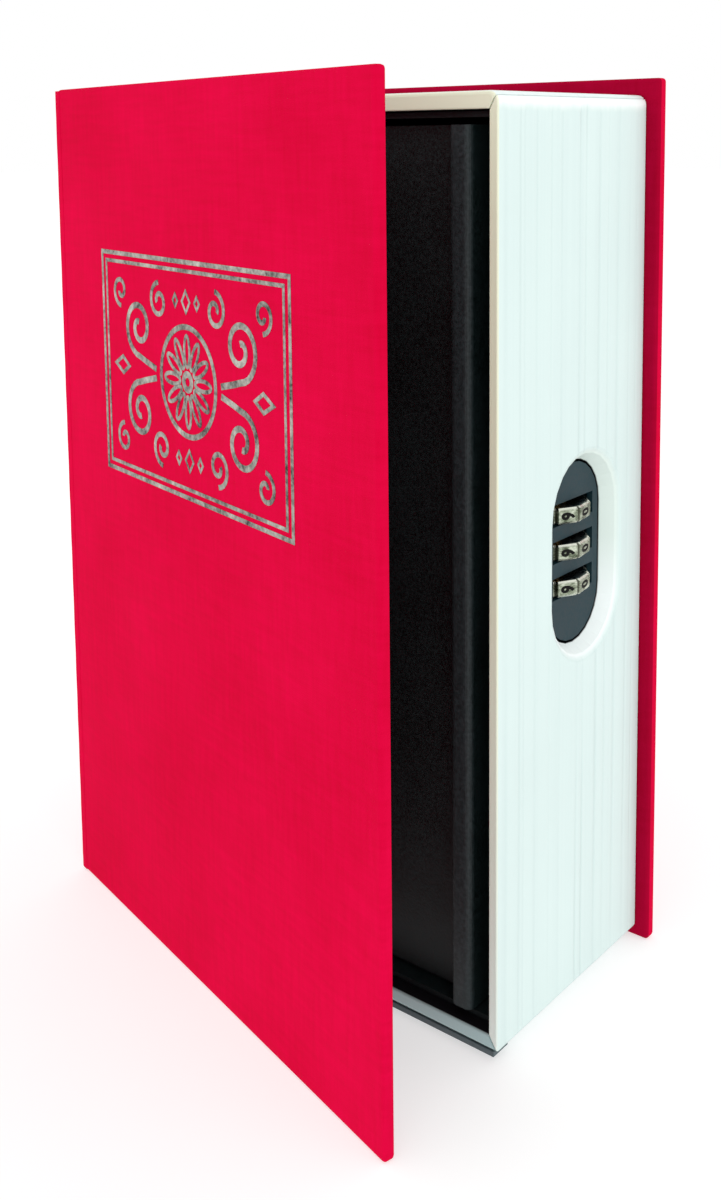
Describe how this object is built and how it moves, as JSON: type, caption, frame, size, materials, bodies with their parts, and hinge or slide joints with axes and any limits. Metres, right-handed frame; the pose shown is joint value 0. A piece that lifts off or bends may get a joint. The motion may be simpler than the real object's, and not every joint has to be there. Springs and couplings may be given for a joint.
{
  "type": "book safe",
  "caption": "Hollow book with a cloth cover, a steel box inside a false page block, an inner door and a dial lock in the fore-edge.",
  "frame": {"origin": "middle of the footprint with the front cover ajar, on the surface that the book stands on", "axes": "+X from the spine to the fore-edge, +Y from the front cover to the back cover, +Z from tail to head"},
  "size_m": [0.1172, 0.0872, 0.18],
  "materials": {
    "cover_cloth": "fine woven book cloth over greyboard",
    "page_white": "satin white with fine streaks like page edges",
    "edge_strip": "dark matt",
    "black_paint": "fine-textured black powder coat",
    "lock_casting": "grey die casting",
    "plate_paint": "satin dark blue-grey",
    "dial_nickel": "satin nickel with engraved digits",
    "brass": "turned",
    "plain_steel": "zinc plated"
  },
  "bodies": {
    "case": {"back_board": "cover_cloth", "spine_board": "cover_cloth", "page_head": "page_white", "page_tail": "page_white", "page_fore_edge": "page_white", "page_spine_rail": "page_white", "tail_edge_strip": "edge_strip", "steel_tray": "black_paint", "floor_screw_1": "plain_steel", "floor_screw_2": "plain_steel", "floor_screw_3": "plain_steel", "floor_screw_4": "plain_steel", "hinge_leaf_fixed_lower": "black_paint", "hinge_leaf_fixed_upper": "black_paint", "hinge_pin_lower": "plain_steel", "hinge_pin_upper": "plain_steel", "lock_case": "lock_casting", "lock_plate": "plate_paint", "lock_screw_1": "plain_steel", "lock_screw_2": "plain_steel", "lock_screw_3": "plain_steel", "lock_screw_4": "plain_steel", "dial_spindle": "plain_steel", "spindle_clip": "plain_steel", "spindle_spacer": "brass", "dial_stack_spring": "plain_steel", "bolt_guide_screw_1": "plain_steel", "bolt_guide_screw_2": "plain_steel", "bolt_spring": "plain_steel", "detent_leaf": "plain_steel"},
    "cover_joint": {"front_joint_cloth": "cover_cloth"},
    "front_cover": {"front_board": "cover_cloth"},
    "inner_door": {"inner_door": "black_paint", "door_strike": "plain_steel", "hinge_leaf_moving_lower": "black_paint", "hinge_leaf_moving_upper": "black_paint"},
    "lower_dial": {"dial_1": "dial_nickel", "code_sleeve_1": "brass"},
    "middle_dial": {"dial_2": "dial_nickel", "code_sleeve_2": "brass"},
    "upper_dial": {"dial_3": "dial_nickel", "code_sleeve_3": "brass"},
    "latch_bolt": {"bolt": "plain_steel"}
  },
  "joints": [
    {"name": "cover_pushed_by_door", "type": "hinge", "parent": "case", "child": "cover_joint", "pos_m": [-0.05815, -0.01437, 0.09], "axis": [0, 0, -1], "range_deg": [0, 90]},
    {"name": "cover_hinge", "type": "hinge", "parent": "cover_joint", "child": "front_cover", "pos_m": [-0.05815, -0.01437, 0.09], "axis": [0, 0, -1], "range_deg": [-14.45, 65]},
    {"name": "inner_door_hinge", "type": "hinge", "parent": "case", "child": "inner_door", "pos_m": [-0.04725, -0.00597, 0.09], "axis": [0, 0, -1], "range_deg": [0, 90]},
    {"name": "lower_dial_spin", "type": "hinge", "parent": "case", "child": "lower_dial", "pos_m": [0.04685, 0.01913, 0.08245], "axis": [0, 0, 1], "continuous": true},
    {"name": "middle_dial_spin", "type": "hinge", "parent": "case", "child": "middle_dial", "pos_m": [0.04685, 0.01913, 0.08965], "axis": [0, 0, 1], "continuous": true},
    {"name": "upper_dial_spin", "type": "hinge", "parent": "case", "child": "upper_dial", "pos_m": [0.04685, 0.01913, 0.09685], "axis": [0, 0, 1], "continuous": true},
    {"name": "bolt_slide", "type": "slide", "parent": "case", "child": "latch_bolt", "axis": [0, 0, 1], "range_m": [0, 0.0022], "deforming": ["bolt_spring"]}
  ],
  "couplings": [
    {"joint": "cover_pushed_by_door", "follows": "inner_door_hinge", "ratio": 1}
  ]
}
